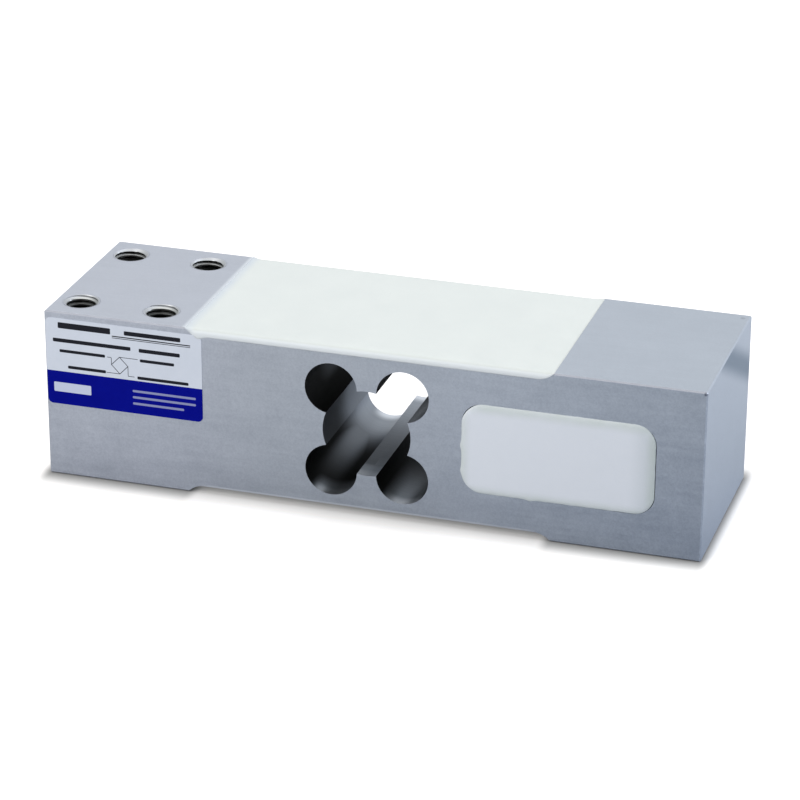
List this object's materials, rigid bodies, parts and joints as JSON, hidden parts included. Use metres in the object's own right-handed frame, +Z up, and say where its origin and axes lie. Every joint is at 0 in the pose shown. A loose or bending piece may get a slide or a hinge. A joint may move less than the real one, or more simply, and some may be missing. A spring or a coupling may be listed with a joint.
{
  "type": "single point load cell",
  "caption": "Single point load cell: aluminium block with a clover of through bores, sealed gauge recesses and side pocket, tapped bolt holes and a rear cable inlet.",
  "frame": {"origin": "centre of the block's underside, on the surface that it stands on", "axes": "+X along the length from the load end to the fixed end, +Y from the label's face to the rear face, +Z up"},
  "size_m": [0.15, 0.046, 0.0395],
  "materials": {
    "machined_aluminium": "fine milled and lightly brushed",
    "white_sealant": "satin white silicone",
    "label_film": "semi-gloss printed film",
    "black_rubber": "matte moulded rubber",
    "amber_film": "thin amber film",
    "gauge_foil": "etched copper-nickel foil",
    "copper_pad": "bare copper",
    "lead_insulation": "thin wire insulation",
    "solder": "bright tin solder",
    "board_laminate": "green circuit board laminate",
    "chip_ceramic": "chip resistor body"
  },
  "bodies": {
    "root": {"flexure_block": "machined_aluminium", "top_sealant": "white_sealant", "bottom_sealant": "white_sealant", "pocket_sealant": "white_sealant", "identification_label": "label_film", "cable_grommet": "black_rubber", "gauge_carrier_upper_load": "amber_film", "gauge_foil_upper_load": "gauge_foil", "gauge_carrier_upper_fixed": "amber_film", "gauge_foil_upper_fixed": "gauge_foil", "terminal_strip_upper": "amber_film", "terminal_pads_upper": "copper_pad", "jumper_ribbons_upper": "copper_pad", "lead_wires_upper": "lead_insulation", "terminal_solder_upper": "solder", "board_solder_upper": "solder", "gauge_carrier_lower_load": "amber_film", "gauge_foil_lower_load": "gauge_foil", "gauge_carrier_lower_fixed": "amber_film", "gauge_foil_lower_fixed": "gauge_foil", "terminal_strip_lower": "amber_film", "terminal_pads_lower": "copper_pad", "jumper_ribbons_lower": "copper_pad", "lead_wires_lower": "lead_insulation", "terminal_solder_lower": "solder", "board_solder_lower": "solder", "compensation_board": "board_laminate", "board_pads": "copper_pad", "span_resistor_upper": "chip_ceramic", "span_resistor_lower": "chip_ceramic", "span_temperature_resistor": "chip_ceramic", "zero_temperature_resistor": "chip_ceramic", "zero_balance_resistor": "chip_ceramic"}
  },
  "joints": []
}
